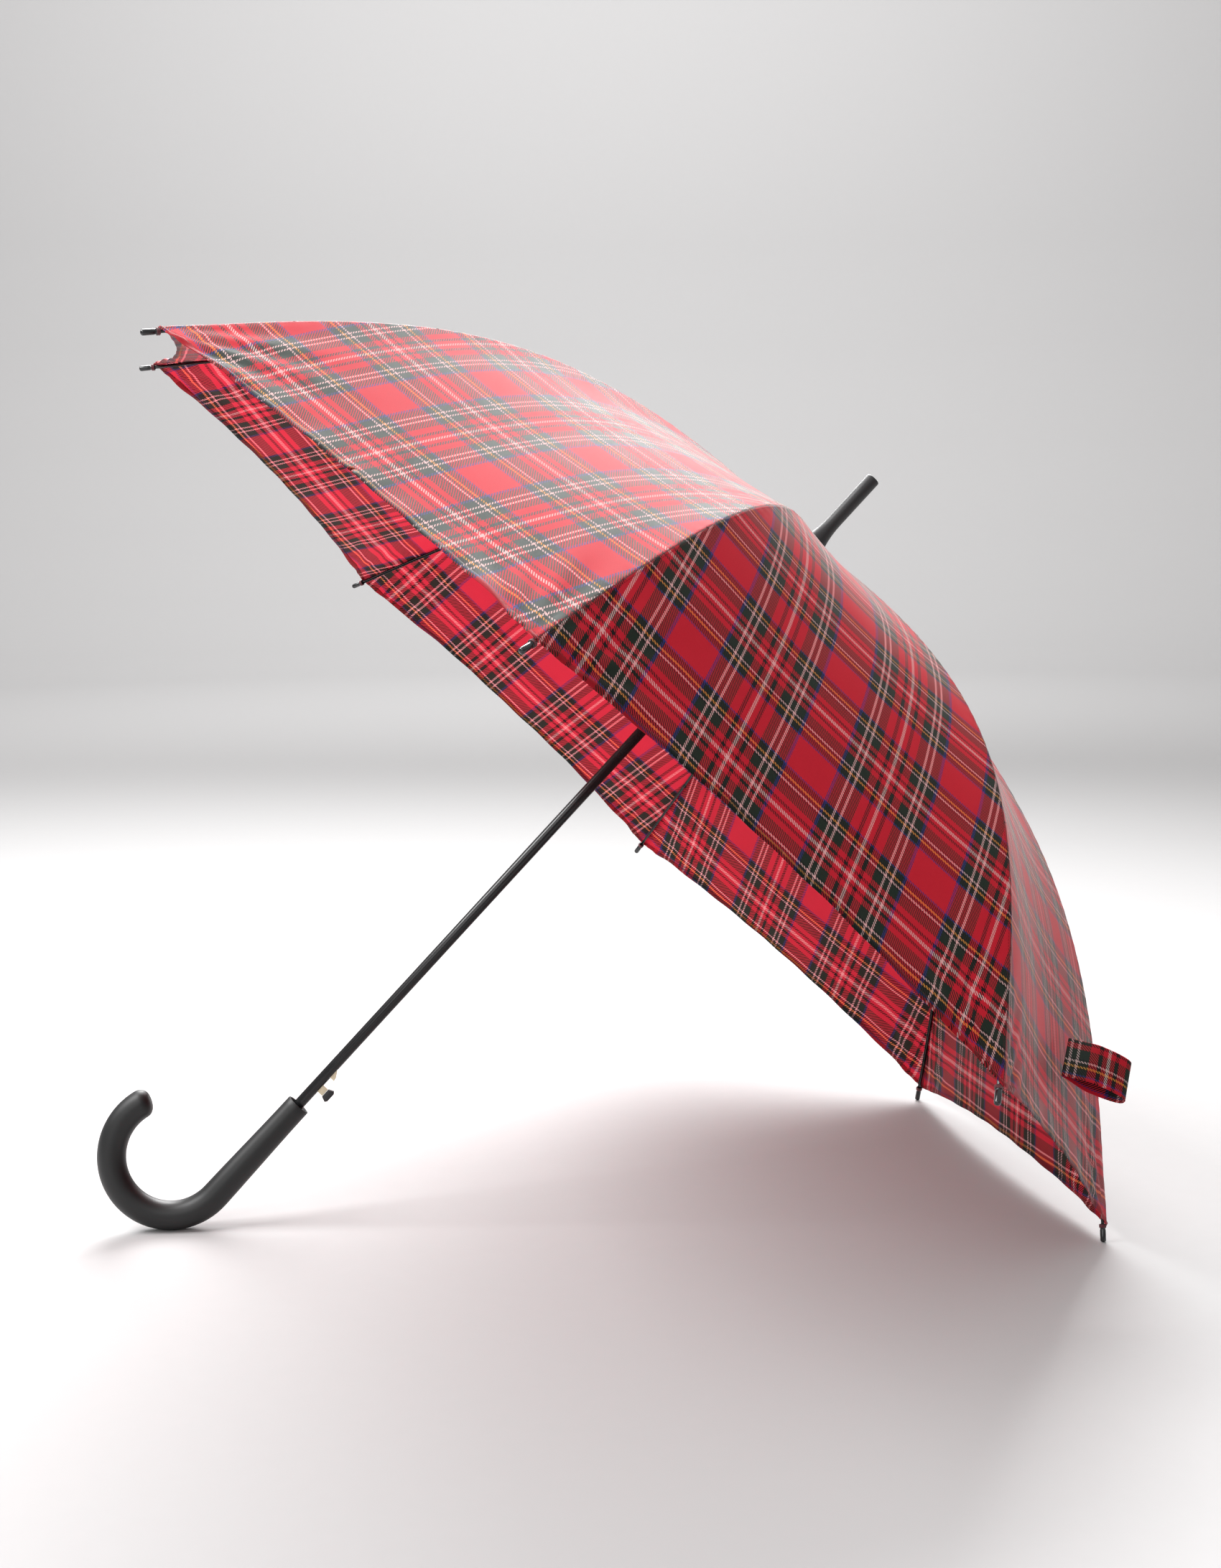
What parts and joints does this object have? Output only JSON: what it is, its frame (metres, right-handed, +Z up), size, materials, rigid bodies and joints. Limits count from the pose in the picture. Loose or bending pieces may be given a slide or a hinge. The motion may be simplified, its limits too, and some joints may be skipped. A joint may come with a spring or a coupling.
{
  "type": "stick umbrella",
  "caption": "Open stick umbrella with a crook handle, push-button latch, sliding runner, hinged ribs and stretchers, and a tartan canopy.",
  "frame": {"origin": "on the floor, under the middle of the box round the open umbrella as it rests on two rib tips and its crook", "axes": "+Z up, +X the way the shaft points along the floor from handle to ferrule, +Y across the canopy"},
  "size_m": [0.7772, 1.0044, 0.7135],
  "materials": {
    "black_enamel": "glossy black enamel on steel",
    "black_plastic": "satin moulded plastic",
    "gloss_black_plastic": "glossy moulded plastic",
    "soft_touch_black": "matt soft-touch coating",
    "cream_plastic": "natural moulded nylon",
    "spring_steel": "drawn spring wire",
    "tartan_cloth": "printed tartan polyester with a soft satin sheen"
  },
  "bodies": {
    "root": {"shaft": "black_enamel", "ferrule": "black_plastic", "crown_notch": "black_plastic", "crown_wire": "spring_steel", "crown_rosette": "black_plastic", "runner_stop": "black_enamel", "opening_spring": "spring_steel", "latch_spring": "spring_steel", "handle_grip": "soft_touch_black", "grip_collar": "black_plastic"},
    "runner": {"runner": "black_plastic", "runner_wire": "spring_steel"},
    "latch": {"latch_lever": "cream_plastic", "button_cap": "black_plastic"},
    "rib_1": {"rib_1": "black_enamel", "rib_joint_1": "black_enamel", "tip_cap_1": "gloss_black_plastic", "canopy_section_1": "tartan_cloth"},
    "stretcher_1": {"stretcher_1": "black_enamel"},
    "rib_2": {"rib_2": "black_enamel", "rib_joint_2": "black_enamel", "tip_cap_2": "gloss_black_plastic", "canopy_section_2": "tartan_cloth"},
    "stretcher_2": {"stretcher_2": "black_enamel"},
    "rib_3": {"rib_3": "black_enamel", "rib_joint_3": "black_enamel", "tip_cap_3": "gloss_black_plastic", "canopy_section_3": "tartan_cloth"},
    "stretcher_3": {"stretcher_3": "black_enamel"},
    "rib_4": {"rib_4": "black_enamel", "rib_joint_4": "black_enamel", "tip_cap_4": "gloss_black_plastic", "canopy_section_4": "tartan_cloth", "closing_strap": "tartan_cloth", "strap_fastener": "black_plastic"},
    "stretcher_4": {"stretcher_4": "black_enamel"},
    "rib_5": {"rib_5": "black_enamel", "rib_joint_5": "black_enamel", "tip_cap_5": "gloss_black_plastic", "canopy_section_5": "tartan_cloth"},
    "stretcher_5": {"stretcher_5": "black_enamel"},
    "rib_6": {"rib_6": "black_enamel", "rib_joint_6": "black_enamel", "tip_cap_6": "gloss_black_plastic", "canopy_section_6": "tartan_cloth"},
    "stretcher_6": {"stretcher_6": "black_enamel"},
    "rib_7": {"rib_7": "black_enamel", "rib_joint_7": "black_enamel", "tip_cap_7": "gloss_black_plastic", "canopy_section_7": "tartan_cloth"},
    "stretcher_7": {"stretcher_7": "black_enamel"},
    "rib_8": {"rib_8": "black_enamel", "rib_joint_8": "black_enamel", "tip_cap_8": "gloss_black_plastic", "canopy_section_8": "tartan_cloth"},
    "stretcher_8": {"stretcher_8": "black_enamel"}
  },
  "joints": [
    {"name": "runner_slide", "type": "slide", "parent": "root", "child": "runner", "axis": [-0.6995, 0, -0.7146], "range_m": [0, 0.39397], "stiffness_N_per_m": 60, "springref_m": -0.15, "deforming": ["opening_spring"]},
    {"name": "button_press", "type": "slide", "parent": "root", "child": "latch", "axis": [-0.699, 0.2079, 0.6843], "range_m": [0, 0.003], "stiffness_N_per_m": 500, "springref_m": -0.002, "deforming": ["latch_spring"]},
    {"name": "rib_1_fold", "type": "hinge", "parent": "root", "child": "rib_1", "pos_m": [0.20299, -0.00344, 0.54799], "axis": [0.2735, -0.9239, -0.2677], "range_deg": [0, 61.51], "deforming": ["canopy_section_1"]},
    {"name": "stretcher_1_fold", "type": "hinge", "parent": "rib_1", "child": "stretcher_1", "pos_m": [-0.023, -0.10881, 0.68078], "axis": [0.2735, -0.9239, -0.2677], "range_deg": [-117.08, 0]},
    {"name": "rib_2_fold", "type": "hinge", "parent": "root", "child": "rib_2", "pos_m": [0.20647, -0.00831, 0.54459], "axis": [0.6602, -0.3827, -0.6463], "range_deg": [0, 61.51], "deforming": ["canopy_section_2"]},
    {"name": "stretcher_2_fold", "type": "hinge", "parent": "rib_2", "child": "stretcher_2", "pos_m": [0.08696, -0.2627, 0.57313], "axis": [0.6602, -0.3827, -0.6463], "range_deg": [-117.08, 0]},
    {"name": "rib_3_fold", "type": "hinge", "parent": "root", "child": "rib_3", "pos_m": [0.2114, -0.00831, 0.53977], "axis": [0.6602, 0.3827, -0.6463], "range_deg": [0, 61.51], "deforming": ["canopy_section_3"]},
    {"name": "stretcher_3_fold", "type": "hinge", "parent": "rib_3", "child": "stretcher_3", "pos_m": [0.24248, -0.2627, 0.42089], "axis": [0.6602, 0.3827, -0.6463], "range_deg": [-117.08, 0]},
    {"name": "rib_4_fold", "type": "hinge", "parent": "root", "child": "rib_4", "pos_m": [0.21488, -0.00344, 0.53636], "axis": [0.2735, 0.9239, -0.2677], "range_deg": [0, 61.51], "deforming": ["canopy_section_4"]},
    {"name": "stretcher_4_fold", "type": "hinge", "parent": "rib_4", "child": "stretcher_4", "pos_m": [0.35244, -0.10881, 0.31324], "axis": [0.2735, 0.9239, -0.2677], "range_deg": [-117.08, 0]},
    {"name": "rib_5_fold", "type": "hinge", "parent": "root", "child": "rib_5", "pos_m": [0.21488, 0.00344, 0.53636], "axis": [-0.2735, 0.9239, 0.2677], "range_deg": [0, 61.51], "deforming": ["canopy_section_5"]},
    {"name": "stretcher_5_fold", "type": "hinge", "parent": "rib_5", "child": "stretcher_5", "pos_m": [0.35244, 0.10881, 0.31324], "axis": [-0.2735, 0.9239, 0.2677], "range_deg": [-117.08, 0]},
    {"name": "rib_6_fold", "type": "hinge", "parent": "root", "child": "rib_6", "pos_m": [0.2114, 0.00831, 0.53977], "axis": [-0.6602, 0.3827, 0.6463], "range_deg": [0, 61.51], "deforming": ["canopy_section_6"]},
    {"name": "stretcher_6_fold", "type": "hinge", "parent": "rib_6", "child": "stretcher_6", "pos_m": [0.24248, 0.2627, 0.42089], "axis": [-0.6602, 0.3827, 0.6463], "range_deg": [-117.08, 0]},
    {"name": "rib_7_fold", "type": "hinge", "parent": "root", "child": "rib_7", "pos_m": [0.20647, 0.00831, 0.54459], "axis": [-0.6602, -0.3827, 0.6463], "range_deg": [0, 61.51], "deforming": ["canopy_section_7"]},
    {"name": "stretcher_7_fold", "type": "hinge", "parent": "rib_7", "child": "stretcher_7", "pos_m": [0.08696, 0.2627, 0.57313], "axis": [-0.6602, -0.3827, 0.6463], "range_deg": [-117.08, 0]},
    {"name": "rib_8_fold", "type": "hinge", "parent": "root", "child": "rib_8", "pos_m": [0.20299, 0.00344, 0.54799], "axis": [-0.2735, -0.9239, 0.2677], "range_deg": [0, 61.51], "deforming": ["canopy_section_8"]},
    {"name": "stretcher_8_fold", "type": "hinge", "parent": "rib_8", "child": "stretcher_8", "pos_m": [-0.023, 0.10881, 0.68078], "axis": [-0.2735, -0.9239, 0.2677], "range_deg": [-117.08, 0]}
  ],
  "couplings": [
    {"joint": "rib_1_fold", "follows": "runner_slide", "rad_per_m": 2.7245},
    {"joint": "stretcher_1_fold", "follows": "runner_slide", "rad_per_m": -5.1864},
    {"joint": "rib_2_fold", "follows": "runner_slide", "rad_per_m": 2.7245},
    {"joint": "stretcher_2_fold", "follows": "runner_slide", "rad_per_m": -5.1864},
    {"joint": "rib_3_fold", "follows": "runner_slide", "rad_per_m": 2.7245},
    {"joint": "stretcher_3_fold", "follows": "runner_slide", "rad_per_m": -5.1864},
    {"joint": "rib_4_fold", "follows": "runner_slide", "rad_per_m": 2.7245},
    {"joint": "stretcher_4_fold", "follows": "runner_slide", "rad_per_m": -5.1864},
    {"joint": "rib_5_fold", "follows": "runner_slide", "rad_per_m": 2.7245},
    {"joint": "stretcher_5_fold", "follows": "runner_slide", "rad_per_m": -5.1864},
    {"joint": "rib_6_fold", "follows": "runner_slide", "rad_per_m": 2.7245},
    {"joint": "stretcher_6_fold", "follows": "runner_slide", "rad_per_m": -5.1864},
    {"joint": "rib_7_fold", "follows": "runner_slide", "rad_per_m": 2.7245},
    {"joint": "stretcher_7_fold", "follows": "runner_slide", "rad_per_m": -5.1864},
    {"joint": "rib_8_fold", "follows": "runner_slide", "rad_per_m": 2.7245},
    {"joint": "stretcher_8_fold", "follows": "runner_slide", "rad_per_m": -5.1864}
  ]
}
